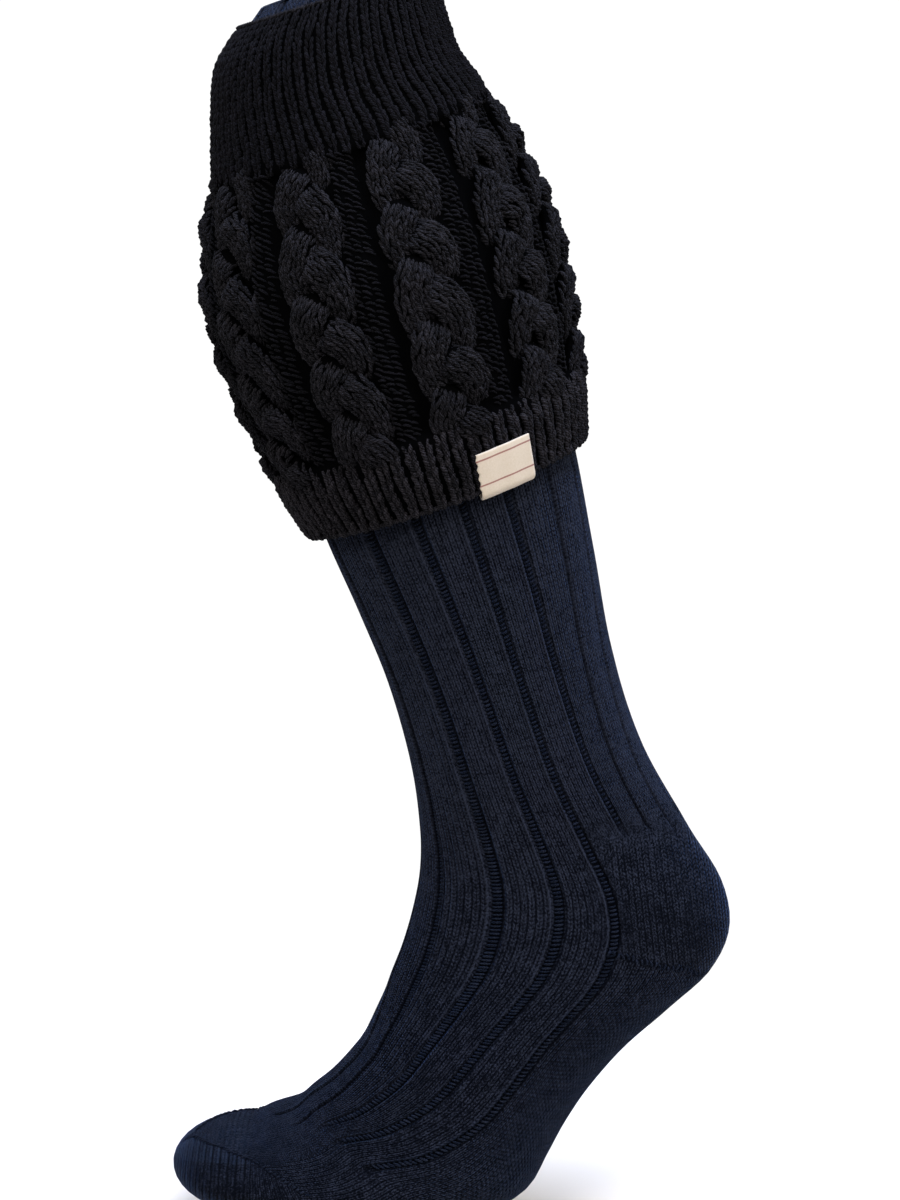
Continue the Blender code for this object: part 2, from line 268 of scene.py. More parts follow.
def bell(value, middle, spread):
    """1 at the middle, and falling off smoothly on both sides."""
    return np.exp(-(((value - middle) / spread) ** 2))


def unit(vectors):
    """The vectors, each at a length of 1."""
    return vectors / np.linalg.norm(vectors, axis=-1, keepdims=True)


def combined(*axes):
    """Every combination of the axes' values: for each axis an array with one of them in each row."""
    return [item.reshape(-1, 1) for item in np.meshgrid(*axes, indexing="ij")]


def run_of(points):
    """How far along a row of points each of them lies."""
    return np.concatenate(([0.0], np.cumsum(np.linalg.norm(np.diff(points, axis=0), axis=1))))


def placed(section):
    """A section's centre (y, z), depth, width and tilt in metres and radians."""
    high, far = (LEG_HEIGHT, LEG_LEAN) if section.zone == "leg" else (FOOT_DROP, FOOT_REACH)
    deep, wide = {
        "calf": (CALF_DEPTH, CALF_WIDTH),
        "heel": (HEEL_DEPTH, HEEL_WIDTH),
        "foot": (FOOT_DEPTH, FOOT_WIDTH),
    }[section.girth]
    centre = (-section.lean * far, section.height * high)
    return (*centre, section.depth * deep, section.width * wide, math.radians(section.tilt))


RINGS = np.array([placed(section) for section in SECTIONS])
STEPS = np.hypot(*np.diff(RINGS[:, :2], axis=0).T)
PATH = np.concatenate(([0.0], np.cumsum(STEPS)))
CUFF_START = PATH[RIM_SECTION] + (RIM_PEEP - STEPS[0])
SMALL = 0.0006
SMALL_TURN = 0.006


def sock_face(along, turn):
    """A point of the sock's outer face. Past the last section the rings round off to the toe's tip."""
    y, z, depth, width, tilt = np.moveaxis(curve_values(PATH, RINGS, np.minimum(along, PATH[-1])), -1, 0)
    round_off = np.clip((along - PATH[-1]) / TOE_ARC, 0, 1) * math.pi / 2
    ahead = TOE_LENGTH * np.sin(round_off)
    out = depth / 2 * np.cos(round_off) * np.cos(turn)
    x = width / 2 * np.cos(round_off) * np.sin(turn)
    y = y + np.sin(tilt) * ahead - out * np.cos(tilt)
    z = z - np.cos(tilt) * ahead - out * np.sin(tilt)
    return np.stack((x, y, z), -1)


def outward(face, run, turn):
    """The outward direction of a face, which is a function of a run down it and a turn round it."""
    down = face(run + SMALL, turn) - face(run - SMALL, turn)
    around = face(run, turn + SMALL_TURN) - face(run, turn - SMALL_TURN)
    return unit(np.cross(down, around))


def sock_out(along, turn):
    """The outward direction of the sock's outer face."""
    return outward(sock_face, along, turn)


def sock_at(along, turn, lift):
    """A point at a lift from the sock's outer face."""
    return sock_face(along, turn) + sock_out(along, turn) * np.asarray(lift)[..., None]


def column_turns(along):
    """The turns of the sunk columns, with the first again a whole turn on, in radians."""
    knots = PATH[list(COLUMN_SECTIONS)]
    table = np.array([column[: len(COLUMN_SECTIONS)] for column in COLUMNS], float).T
    table = np.concatenate((table, table[:, :1] + 360), axis=1)
    return np.radians(curve_values(knots, table, np.clip(along, knots[0], knots[-1])))


def wale_turn(along, wale):
    """The turn of a place among the wales, counted from the first sunk column."""
    turns = column_turns(along)
    number = np.clip(np.floor(wale / WALES_IN_RIB).astype(int), 0, RIBS - 1)
    share = wale / WALES_IN_RIB - number
    low = np.take_along_axis(turns, number[..., None], -1)[..., 0]
    high = np.take_along_axis(turns, number[..., None] + 1, -1)[..., 0]
    return low + (high - low) * share


def column_ends():
    """How far along the sock each sunk column reaches, the first one again at the end."""
    ends = [PATH[column.last_section] for column in COLUMNS]
    return np.array(ends + ends[:1])


def sock_relief(along, wale):
    """The lift of the knit's own relief, and its painted shade: 1 in a sunk column, -1 (a painted
    highlight) on the wale beside it.
    """
    nearest = np.round(wale / WALES_IN_RIB).astype(int)
    aside = wale / WALES_IN_RIB - nearest
    end = column_ends()[nearest]
    start, stop = (np.where(end < HEEL_TOP, *pair) for pair in zip(HEEL_FADE, TOE_FADE))
    present = 1 - fade(along, end + start, end + stop)
    tight = ~np.isin(nearest, OPEN_COLUMNS)
    nearer = TIGHT_BY * tight
    column = present * (1 - fade(np.abs(aside), COLUMN_SIDE[0] - nearer, COLUMN_SIDE[1] - nearer))
    edge = present * bell(aside, EDGE_PLACE + nearer, EDGE_SPREAD) * np.where(tight, TIGHT_EDGE, 1.0)
    slit = present * bell(aside, SLIT_PLACE - nearer, SLIT_SPREAD) + TIGHT_SLIT * tight * column
    # Two legs of a stitch lie side by side in each wale, with a deeper furrow between wales
    ridge = np.abs(np.sin(2 * math.pi * wale)) - 0.5 - 0.5 * np.cos(math.pi * wale) ** 16
    ridge = ridge * (1 - fade(shaped_side(along, wale_turn(along, wale)), -0.001, 0.001))
    crown = RIB_CROWN * (1 - (2 * np.abs(aside)) ** 2) * present
    lift = WALE_RIDGE * ridge * (1 - column) - RIB_SINK * column + EDGE_RIDGE * edge - crown
    # Painted shade in each column, and a painted highlight on the fuller wale beside it
    shade = column * np.where(tight, TIGHT_SHADE, 1.0) - edge
    return lift - SLIT_DEEP * slit, shade * (1 - FOOT_LOSS * fade(along, *FOOT_FADE))


def shaped_side(along, turn):
    """Above 0 in the cup of the heel and under the toe's seam, where the knit runs another way."""
    fold = np.minimum(turn % (2 * math.pi), -turn % (2 * math.pi))
    heel = np.array([(math.radians(degrees), place / 1000) for place, degrees in HEEL_GORE])
    low = np.interp(fold, heel[:, 0], heel[:, 1])
    in_heel = np.minimum(along - HEEL_CUP_START / 1000, low - along)
    in_heel = np.minimum(in_heel, (fold - heel[0, 0]) * HEEL_ROUND)
    toe = [(place / 1000, math.radians(degrees)) for place, degrees in ((TOE_GORE_END, 0), *TOE_GORE)]
    toe = np.array(toe)[::-1]
    line = np.interp(along, toe[:, 0], toe[:, 1], left=math.pi)
    return np.maximum(in_heel, np.where(along > toe[0, 0], (fold - line) * TOE_ROUND, -1.0))


def grid_faces(rows, columns, closed=True):
    """The quads of a grid of points, row after row. A closed grid joins its last column to the first."""
    row, column = np.meshgrid(
        np.arange(rows - 1), np.arange(columns if closed else columns - 1), indexing="ij"
    )
    row, column = row.ravel(), column.ravel()
    following = (column + 1) % columns
    corners = (
        row * columns + column,
        (row + 1) * columns + column,
        (row + 1) * columns + following,
        row * columns + following,
    )
    return np.stack(corners, 1)


def new_piece(name, points, faces, finish, replaced=()):
    """A smooth mesh piece that rides on the sock's one body."""
    mesh = bpy.data.meshes.new(name)
    mesh.from_pydata(np.asarray(points).reshape(-1, 3).tolist(), [], faces)
    mesh.shade_smooth()
    mesh.materials.append(finish)
    piece = bpy.data.objects.new(name, mesh)
    bpy.context.scene.collection.objects.link(piece)
    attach(piece, "root")
    if replaced:
        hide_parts(*replaced)
    return piece


def knit_map(piece, places, name="knit"):
    """A map of the knit: for each corner its wale and its course, given for each vertex."""
    layer = piece.data.uv_layers.new(name=name)
    corners = np.zeros(len(piece.data.loops), int)
    piece.data.loops.foreach_get("vertex_index", corners)
    layer.uv.foreach_set("vector", places[corners].astype(np.float32).ravel())


def bars(centres, outs, radii, sides=5, flat=1.0):
    """The points, faces and map of many small round bars. Each has a row of centres, whose first and
    last are its tips, an outward direction at each centre and a radius at each between the tips. The
    map holds how far aside a point is and how far along, with a whole number for each bar."""
    count, rings = centres.shape[0], centres.shape[1] - 2
    tangent = unit(centres[:, 2:] - centres[:, :-2])
    side = unit(np.cross(tangent, outs[:, 1:-1]))
    up = np.cross(side, tangent)
    angle = 2 * math.pi * np.arange(sides) / sides
    offset = side[:, :, None] * np.cos(angle)[:, None] + up[:, :, None] * np.sin(angle)[:, None] * flat
    rounds = centres[:, 1:-1, None] + offset * radii[..., None, None]
    points = np.concatenate(
        (centres[:, :1], rounds.reshape(count, rings * sides, 3), centres[:, -1:]), axis=1
    )
    quads = grid_faces(rings, sides) + 1
    first = np.arange(sides)
    following = (first + 1) % sides
    last = 1 + (rings - 1) * sides
    tip = 1 + rings * sides
    start_cap = np.stack((np.zeros(sides, int), first + 1, following + 1), 1)
    end_cap = np.stack((np.full(sides, tip), following + last, first + last), 1)
    each = np.arange(count)[:, None, None] * points.shape[1]
    quads = (quads[None] + each).reshape(-1, 4)
    caps = (np.concatenate((start_cap, end_cap))[None] + each).reshape(-1, 3)
    aside = np.concatenate(([0.0], np.tile(np.cos(angle), rings), [0.0]))
    run = np.concatenate(([0.05], np.repeat(np.linspace(0.1, 0.9, rings), sides), [0.95]))
    number = np.arange(count)[:, None] % BAR_NUMBERS
    places = np.stack(np.broadcast_arrays(aside, run + number), -1)
    return points.reshape(-1, 3), quads.tolist() + caps.tolist(), places.reshape(-1, 2)


def make_bars(name, slot, finish, *sets):
    """One piece of one or more sets of bars."""
    points, faces, places = sets[0]
    for more_points, more_faces, more_places in sets[1:]:
        faces = faces + [[i + len(points) for i in face] for face in more_faces]
        points = np.concatenate((points, more_points))
        places = np.concatenate((places, more_places))
    piece = new_piece(name, points, faces, finish)
    knit_map(piece, places)
    return piece


def sock_rows():
    """Where the sock's rings lie: fine where it shows and coarse under the cuff."""
    edge = np.array([0.0, 0.002, 0.005, 0.009])
    hidden = np.arange(HIDDEN_START, HIDDEN_END, HIDDEN_STEP)
    end = PATH[-1] + TOE_ARC * TOE_CLOSE
    seen = np.linspace(HIDDEN_END, end, round((end - HIDDEN_END) / SEEN_STEP))
    return np.concatenate((edge, hidden, seen))


def make_sock_knit(finish):
    """The outer face of the leg, heel, foot and toe."""
    along = sock_rows()
    columns = RIBS * WALES_IN_RIB * POINTS_IN_WALE
    wale = np.arange(columns) / POINTS_IN_WALE
    along_grid, wale_grid = np.meshgrid(along, wale, indexing="ij")
    turn = wale_turn(along_grid, wale_grid)
    lift, sunk = sock_relief(along_grid, wale_grid)
    points = sock_at(along_grid, turn, lift).reshape(-1, 3)
    tip = sock_face(np.array([PATH[-1] + TOE_ARC]), np.array([0.0]))
    faces = grid_faces(len(along), columns).tolist()
    last = (len(along) - 1) * columns
    faces += [(last + i, len(points), last + (i + 1) % columns) for i in range(columns)]
    points = np.concatenate((points, tip))
    piece = new_piece("sock_knit", points, faces, finish, ("sock_body",))
    places = np.stack((wale_grid, along_grid / COURSE), -1).reshape(-1, 2)
    places = np.concatenate((places, [[0.5, (PATH[-1] + TOE_ARC) / COURSE]]))
    knit_map(piece, places)
    mend_seam(piece, RIBS * WALES_IN_RIB)
    y, z = points[:-1, 1], points[:-1, 2]
    heel = np.stack(((y + HEEL_WALE_LEAN * z) / HEEL_WALE, (z - HEEL_WALE_LEAN * y) / COURSE), -1)
    toe = places[:-1, ::-1] * (COURSE / WALE_WIDTH, WALE_WIDTH / COURSE)
    shaped = np.where(along_grid.reshape(-1, 1) < FOOT_MIDDLE, heel, toe)
    knit_map(piece, np.concatenate((shaped, shaped[-1:])), "shaped_knit")
    # The sunk attribute holds the columns' painted shade and the painted highlight beside them
    for name, values in (("sunk", sunk), ("shaped", shaped_side(along_grid, turn) * 1000)):
        layer = piece.data.attributes.new(name, "FLOAT", "POINT")
        layer.data.foreach_set("value", np.append(values.ravel(), values.max()).astype(np.float32))
    return piece


def mend_seam(piece, whole):
    """Carries the count of wales on past the last one, where the grid closes on its first column."""
    layer = piece.data.uv_layers["knit"]
    values = np.zeros(len(piece.data.loops) * 2, np.float32)
    layer.uv.foreach_get("vector", values)
    values = values.reshape(-1, 2)
    starts = np.zeros(len(piece.data.polygons), int)
    totals = np.zeros(len(piece.data.polygons), int)
    piece.data.polygons.foreach_get("loop_start", starts)
    piece.data.polygons.foreach_get("loop_total", totals)
    owner = np.repeat(np.arange(len(starts)), totals)
    highest = np.maximum.reduceat(values[:, 0], starts)
    wraps = (highest[owner] > whole * 0.9) & (values[:, 0] < whole * 0.1)
    values[wraps, 0] += whole
    layer.uv.foreach_set("vector", values.ravel())


# The sock's rolled edge as rows of along and lift, from its outer face to its inner one
ROLLED_EDGE = (
    (0.0004, 0.0),
    (-0.0004, -0.0002),
    (-0.0009, -0.0009),
    (-0.0004, -0.0016),
    (0.0004, -SOCK_WALL),
)


def make_sock_inside(finish):
    """The inner face of the whole sock, and the rolled edge that joins it to the outer face."""
    columns = RIBS * WALES_IN_RIB
    wale = np.arange(columns) + 0.5
    end = PATH[-1] + TOE_ARC * TOE_CLOSE
    inside = [(along, -SOCK_WALL) for along in np.linspace(0.004, end, INSIDE_RINGS)]
    places = np.array([*ROLLED_EDGE, *inside])
    along, wales = np.meshgrid(places[:, 0], wale, indexing="ij")
    lift = np.repeat(places[:, 1:], columns, axis=1)
    points = sock_at(along, wale_turn(along, wales), lift).reshape(-1, 3)
    faces = grid_faces(len(places), columns).tolist()
    piece = new_piece("sock_inside", points, faces, finish)
    knit_map(piece, np.stack((wales, along / COURSE), -1).reshape(-1, 2))
    return piece


# A purl bar of a sunk column, from tip to tip: its place across as a share of the rib, its lift, and
# its radii between its tips
RUNG_PLACE = np.array((-0.092, -0.064, 0.0, 0.048, 0.072))
RUNG_LIFT = np.array((0.0002, 0.0007, 0.0009, 0.0006, -0.0001)) - RIB_SINK
RUNG_RADII = np.array((0.00036, 0.00044, 0.00034))
RUNG_SLANT = -2.5 * COURSE  # how far along it runs over a whole rib
RUNG_LOW = 0.0016  # how much lower it lies in a tight column
RUNG_STOP = 0.008  # how far before a column's end at the heel its bars stop


def make_ladder_rungs(finish):
    """The purl bars that lie across each sunk column, one to a course."""
    centres, outs = [], []
    for number, column in enumerate(COLUMNS):
        end = PATH[column.last_section]
        places = np.arange(HIDDEN_END, end - (RUNG_STOP if end < HEEL_TOP else 0.0), COURSE)
        along = places[:, None] + RUNG_SLANT * RUNG_PLACE + RANDOM.normal(0, 0.00010, (len(places), 1))
        wale = (number + RUNG_PLACE) * WALES_IN_RIB + np.zeros_like(along)
        turn = wale_turn(along, wale % (RIBS * WALES_IN_RIB))
        low = 0.0 if number in OPEN_COLUMNS else RUNG_LOW
        centres.append(sock_at(along, turn, RUNG_LIFT - low))
        outs.append(sock_out(along, turn))
    centres = np.concatenate(centres)
    radii = RUNG_RADII * RANDOM.normal(1, 0.12, (len(centres), 1))
    rungs = bars(centres, np.concatenate(outs), radii, sides=4)
    return make_bars("ladder_rungs", "navy_fine_knit", finish, rungs)


# A knot of the heel's and toe's seams, from tip to tip
KNOT_REACH = np.array((-0.0013, -0.0007, 0.0, 0.0007, 0.0013))
KNOT_LIFT = np.array((-0.0004, 0.0002, 0.0004, 0.0002, -0.0004))
KNOT_RADII = (0.00035, 0.00048, 0.00035)
KNOT_STEP = 0.0019


def make_gore_stitches(finish):
    """The small knots along the seams of the shaped heel and toe, on both sides of the foot."""
    centres, outs = [], []
    for gore in (HEEL_GORE, TOE_GORE):
        for mirror in (1, -1):
            route = np.array([(along / 1000, math.radians(turn) * mirror) for along, turn in gore])
            fine = curve_values(np.arange(len(route)), route, np.linspace(0, len(route) - 1, 400))
            spots = sock_face(fine[:, 0], fine[:, 1])
            run = run_of(spots)
            steps = np.arange(0, run[-1], KNOT_STEP)[:, None]
            along = np.interp(steps, run, fine[:, 0]) + KNOT_REACH + RANDOM.normal(0, 0.0003, steps.shape)
            lean = RANDOM.normal(4, 9, steps.shape) * mirror
            turn = np.interp(steps, run, fine[:, 1]) + KNOT_REACH * lean
            centres.append(sock_at(along, turn, KNOT_LIFT))
            outs.append(sock_out(along, turn))
    centres = np.concatenate(centres)
    radii = np.tile(KNOT_RADII, (len(centres), 1))
    knots = bars(centres, np.concatenate(outs), radii)
    return make_bars("gore_stitches", "navy_fine_knit", finish, knots)


def stand_off(share, turn):
    """How far the cuff's outer face stands off its seat."""
    knots = [stand.along for stand in STANDS]
    front, back = np.moveaxis(curve_values(knots, [stand[1:] for stand in STANDS], share), -1, 0)
    return CUFF_BULGE * np.maximum((front + back) / 2 + (front - back) / 2 * np.cos(turn), 0.0)


def cuff_at(down, turn, lift, least=CUFF_GAP):
    """A point at a lift from the cuff's outer face, no nearer to the sock's face than least."""
    share = down / CUFF_LENGTH
    along = CUFF_START + share * (CUFF_LENGTH + HEM_SLANT * np.cos(turn))
    out = CUFF_GAP + CUFF_WALL + stand_off(share, turn) + lift
    return sock_at(along, turn, np.maximum(out, least))


def cuff_face(down, turn):
    """A point of the cuff's outer face."""
    return cuff_at(down, turn, 0.0)


def cuff_out(down, turn):
    """The outward direction of the cuff's outer face."""
    return outward(cuff_face, down, turn)


def cuff_reach(down, turn):
    """Metres of the cuff's outer face for each radian of turn."""
    step = cuff_face(down, turn + SMALL_TURN) - cuff_face(down, turn - SMALL_TURN)
    return np.linalg.norm(step, axis=-1) / (2 * SMALL_TURN)


PANEL_START = TOP_BAND
PANEL_END = CUFF_LENGTH - HEM_BAND
CABLE_STEP = 2 * math.pi / CABLES


def ground_lift(down, turn):
    """The level of the cuff's backing: just behind the ribs of the bands, deeper between cables."""
    panel = fade(down, PANEL_START - 0.001, PANEL_START + 0.002)
    panel = panel * (1 - fade(down, PANEL_END - 0.002, PANEL_END + 0.001))
    place = (turn - FIRST_CABLE) / CABLE_STEP % 1.0
    bank, groove = (height * bell(place, *where) for height, *where in (BANK, GROOVE))
    return GROUND_LIFT * (1 - panel) - (GROUND_DEEP - bank + groove) * panel


def make_cuff_ground(finish):
    """The closed wall of the cuff behind its stitches: outer face, hem, inner face and rim."""
    rows, columns = GROUND_GRID
    turns = np.arange(columns) * 2 * math.pi / columns
    outer = np.linspace(0.0006, CUFF_LENGTH - 0.0008, rows)
    inner = outer[::-3]
    half = [GROUND_WALL / 2]
    down = np.concatenate((outer, [CUFF_LENGTH], inner, [0.0]))
    depth = np.concatenate((np.zeros(len(outer)), half, np.full(len(inner), GROUND_WALL), half))
    down_grid, turn_grid = np.meshgrid(down, turns, indexing="ij")
    points = cuff_at(down_grid, turn_grid, ground_lift(down_grid, turn_grid) - depth[:, None])
    faces = grid_faces(len(down) + 1, columns) % (len(down) * columns)
    return new_piece(
        "cuff_ground", points, faces.tolist(), finish, ("cable_cuff",)
    )


# One leg of a stitch, from its upper tip to its lower one: how far down it is, how far aside from
# its wale's middle as a share of the wale, its lift as a share of its radius, and its fullness
LEG_DOWN = np.array((0.0, 0.16, 0.50, 0.86, 1.0))
LEG_ASIDE = np.array((0.40, 0.38, 0.26, 0.13, 0.08))
LEG_LIFT = np.array((-1.0, -0.25, 0.45, 0.0, -0.9))
LEG_FULL = np.array((0.80, 1.0, 0.72))
PLAIT_FULL = 0.24  # radius of a plait's stitches, as a share of their wale
CORE_FULL = 0.84  # width of a strand's heart, as a share of the strand


def make_band(name, start, end, finish):
    """A band of single ribs, each a wale of stitches whose two legs meet in a V."""
    courses = np.arange(start, end - HEAVY_COURSE * 0.6, HEAVY_COURSE)
    rib, course, side = combined(np.arange(BAND_RIBS), courses, (-1.0, 1.0))
    course = course + RANDOM.normal(0, 0.00012, course.shape)
    down = course + LEG_DOWN * HEAVY_COURSE * LEG_COURSES
    pitch = 2 * math.pi / BAND_RIBS
    # No rib of a band runs quite straight
    sway = RANDOM.normal(0, 0.035, course.shape) + 0.05 * np.sin(course * 260 + rib * 1.7)
    turn = (rib + side * LEG_ASIDE * BAND_SPREAD + sway) * pitch + FIRST_CABLE
    width = cuff_reach(course, turn[:, :1]) * pitch
    radius = width * BAND_FULL * RANDOM.normal(1, 0.09, course.shape)
    beside_cables = start if name == "hem_band" else end
    dip = BAND_DIP[0] * (1 - fade(np.abs(down - beside_cables), 0.0, BAND_DIP[1]))
    lift = 0.5 * LEG_LIFT * radius - 0.0007 + RANDOM.normal(0, 0.00012, course.shape) - dip
    centres = cuff_at(down, turn, lift)
    legs = bars(centres, cuff_out(down, turn), radius * (0.15 + 0.85 * LEG_FULL))
    return make_bars(name, "black_heavy_knit", finish, legs)


def strand_at(cable, strand, down, across, lift):
    """A point of a plait's strand: across is measured from the strand's middle in metres."""
    middle = FIRST_CABLE + cable * CABLE_STEP
    reach = cuff_reach(down, middle)
    half_wave, share = strand_share(cable, strand, down)
    phase = math.pi * (half_wave + share)
    from_start = (half_wave + share + 1) % 2 - 1
    swing = STRAND_SWING * CABLE_STEP * reach
    slope = swing * np.cos(phase) * 2 * math.pi / PLAIT_LENGTH
    length = np.hypot(1.0, slope)
    narrow = 1 - STRAND_NARROW[0] * bell(np.minimum(share, 1 - share), 0.0, STRAND_NARROW[1])
    aside = swing * np.sin(phase) + across * narrow / length
    # Each strand strays a little, in its own way
    aside = aside + 0.0005 * np.sin(down * 190 + 2.3 * cable + 4.1 * strand)
    aside = aside - STRAND_SHIFT[0] * CABLE_STEP * reach * bell(from_start, *STRAND_SHIFT[1:])
    lower = down - across * narrow * slope / length
    half = STRAND_WIDTH * CABLE_STEP * reach / 2
    crown = STRAND_CROWN * np.sqrt(np.clip(1 - (across / half) ** 2, 0, 1))
    late = (share - STRAND_LATE * (half_wave % 2)) % 1.0
    level = PLAIT_LIFT + STRAND_DEEP * curve_values(STRAND_SHARES, STRAND_LEVELS, late) + crown
    return cuff_at(lower, middle + aside / reach, level + lift, least=0.0012)


def strand_share(cable, strand, down):
    """Which half of its wave a strand is in, and how far through that half."""
    halves = 2 * ((down - PLAIT_START) / PLAIT_LENGTH + strand / STRANDS)
    # The halves are a little uneven
    halves = halves + 0.05 * np.sin(3.1 * cable + 5.3 * strand + 90 * down)
    return np.floor(halves), halves - np.floor(halves)


def make_plait_cores(finish):
    """The solid heart of each strand, which closes the gaps between its stitches."""
    cable, strand = combined(np.arange(CABLES), np.arange(STRANDS))
    down = np.linspace(PANEL_START - PLAIT_OVERLAP, PANEL_END + PLAIT_OVERLAP, 62)
    middle = FIRST_CABLE + cable * CABLE_STEP
    centres = strand_at(cable, strand, down, 0.0, -STRAND_CROWN)
    half = STRAND_WIDTH * CABLE_STEP * cuff_reach(down, middle) / 2
    flat = STRAND_CROWN / half.mean()
    hearts = bars(centres, cuff_out(down, middle), half[:, 1:-1] * CORE_FULL, sides=12, flat=flat)
    return make_bars("plait_cores", "black_heavy_knit", finish, hearts)


def make_plaits(name, cables, finish):
    """The stitches that cover the plaits' strands, in wales side by side."""
    courses = np.arange(PANEL_START - PLAIT_OVERLAP, PANEL_END + PLAIT_OVERLAP / 2, HEAVY_COURSE)
    wales = np.arange(STRAND_WALES) - (STRAND_WALES - 1) / 2
    rows = combined(np.array(cables), np.arange(STRANDS), wales, courses, (-1.0, 1.0))
    share = strand_share(rows[0], rows[1], rows[3])[1].ravel()
    seen = (share < STRAND_HIDDEN[0]) | (share > STRAND_HIDDEN[1])
    cable, strand, wale, course, side = (item[seen] for item in rows)
    course = course + RANDOM.normal(0, 0.0003, course.shape)
    down = course + LEG_DOWN * HEAVY_COURSE * LEG_COURSES
    middle = FIRST_CABLE + cable * CABLE_STEP
    width = STRAND_WIDTH * CABLE_STEP * cuff_reach(course, middle) / STRAND_WALES
    twist = RANDOM.normal(0, 0.16, course.shape) * (LEG_DOWN - 0.5)
    across = (wale + side * LEG_ASIDE * 0.98 + RANDOM.normal(0, 0.06, course.shape) + twist) * width
    radius = width * PLAIT_FULL * RANDOM.normal(1, 0.12, course.shape)
    lift = LEG_LIFT * radius - 0.0001 + RANDOM.normal(0, 0.00015, course.shape)
    centres = strand_at(cable, strand, down, across, lift)
    legs = bars(centres, cuff_out(down, middle), radius * LEG_FULL)
    return make_bars(name, "black_heavy_knit", finish, legs)


# A purl bar of the ground, from tip to tip: its place across as a share of the cable step, how far
# it bends down, and its lift
PURL_PLACE = np.array((-0.050, -0.030, 0.0, 0.030, 0.050))
PURL_BEND = np.array((0.0003, 0.0001, -0.0002, 0.0001, 0.0004))
PURL_LIFT = np.array((-0.0006, 0.0002, 0.0006, 0.0002, -0.0006))
PURL_RADII = np.array((0.00042, 0.00052, 0.00042))
PURL_WALES = (-0.16, -0.075, 0.015)  # the ground's wales, from midway between two cables


def make_purl_ground(finish):
    """The short purl bars of the sunk ground between the cables."""
    courses = np.arange(PANEL_START, PANEL_END - 0.0005, HEAVY_COURSE * 0.95)
    cable, wale, course = combined(np.arange(CABLES) + 0.5, PURL_WALES, courses)
    course = course + RANDOM.normal(0, 0.0002, course.shape)
    aside = PURL_PLACE * RANDOM.normal(1, 0.2, course.shape)
    wale = wale + RANDOM.normal(0, 0.010, course.shape)
    down = course + PURL_BEND + aside * RANDOM.normal(0.024, 0.006, course.shape)
    turn = FIRST_CABLE + (cable + wale + aside) * CABLE_STEP
    centres = cuff_at(down, turn, ground_lift(down, turn) + PURL_LIFT, least=CUFF_GAP + 0.0004)
    radii = PURL_RADII * RANDOM.normal(1, 0.12, course.shape)
    purls = bars(centres, cuff_out(down, turn), radii)
    return make_bars("purl_ground", "black_heavy_knit", finish, purls)


# A loop of the cuff's rim and hem, from tip to tip: its place across as a share of the rib, and lift
LOOP_PLACE = np.array((-0.30, -0.22, 0.0, 0.22, 0.30))
LOOP_LIFT = np.array((-0.0022, -0.0012, -0.0008, -0.0012, -0.0022))
LOOP_RADII = (0.0008, 0.00095, 0.0008)


def make_cuff_edges(finish):
    """The loops of the first and last course, which round off the rim and the hem."""
    rib = (np.arange(BAND_RIBS * 2) * 0.5).reshape(-1, 1)
    turn = FIRST_CABLE + (rib + LOOP_PLACE) * 2 * math.pi / BAND_RIBS
    radii = np.tile(LOOP_RADII, (len(rib), 1))
    sets = []
    for down in (0.0002, CUFF_LENGTH - 0.0004):
        sets.append(bars(cuff_at(down, turn, LOOP_LIFT), cuff_out(down, turn), radii))
    return make_bars("cuff_edges", "black_heavy_knit", finish, *sets)


def label_profile():
    """The label's run as (down, lift, below the hem): outside, round the hem's edge, up behind it."""
    lift = LABEL_GAP + LABEL_WALL
    drop = lift + CUFF_WALL / 2
    profile = [(CUFF_LENGTH - (1 - t) * LABEL_HEIGHT, lift, 0.0) for t in np.linspace(0, 1, 25)]
    for t in np.linspace(0, math.pi, 12)[1:-1]:
        profile.append((CUFF_LENGTH, -CUFF_WALL / 2 + drop * math.cos(t), drop * math.sin(t)))
    profile += [(CUFF_LENGTH - t * LABEL_TUCK, -CUFF_WALL - lift, 0.0) for t in np.linspace(0, 1, 12)]
    return np.array(profile)


def make_ribbon_label(finish):
    """The woven ribbon, folded over the hem."""
    profile = label_profile()
    across = np.linspace(-LABEL_WIDTH / 2, LABEL_WIDTH / 2, 33)
    down, side = np.meshgrid(profile[:, 0], across, indexing="ij")
    # One edge of the ribbon runs in small waves
    wave = 0.00028 * np.sin(down * 1900) * fade(-side, LABEL_WIDTH * 0.1, LABEL_WIDTH / 2)
    turn = LABEL_TURN + (side + wave) / cuff_reach(down, LABEL_TURN)
    lift = profile[:, 1:2] - LABEL_WALL / 2 + 0.00012 * np.sin(side * 700)
    hem = np.full_like(turn, CUFF_LENGTH)
    below = unit(cuff_face(hem, turn) - cuff_face(hem - 0.002, turn))
    points = cuff_at(down, turn, lift, least=0.0) + below * profile[:, 2][:, None, None]
    faces = grid_faces(len(profile), len(across), closed=False).tolist()
    piece = new_piece("ribbon_label", points, faces, finish, ("woven_label",))
    run = run_of(points[:, len(across) // 2]) / LABEL_HEIGHT
    run = np.tile(run[:, None], (1, len(across)))
    knit_map(piece, np.stack((side / LABEL_WIDTH + 0.5, run), -1).reshape(-1, 2))
    solid = piece.modifiers.new("cloth", "SOLIDIFY")
    solid.thickness = LABEL_WALL
    solid.offset = 0.0
    return piece
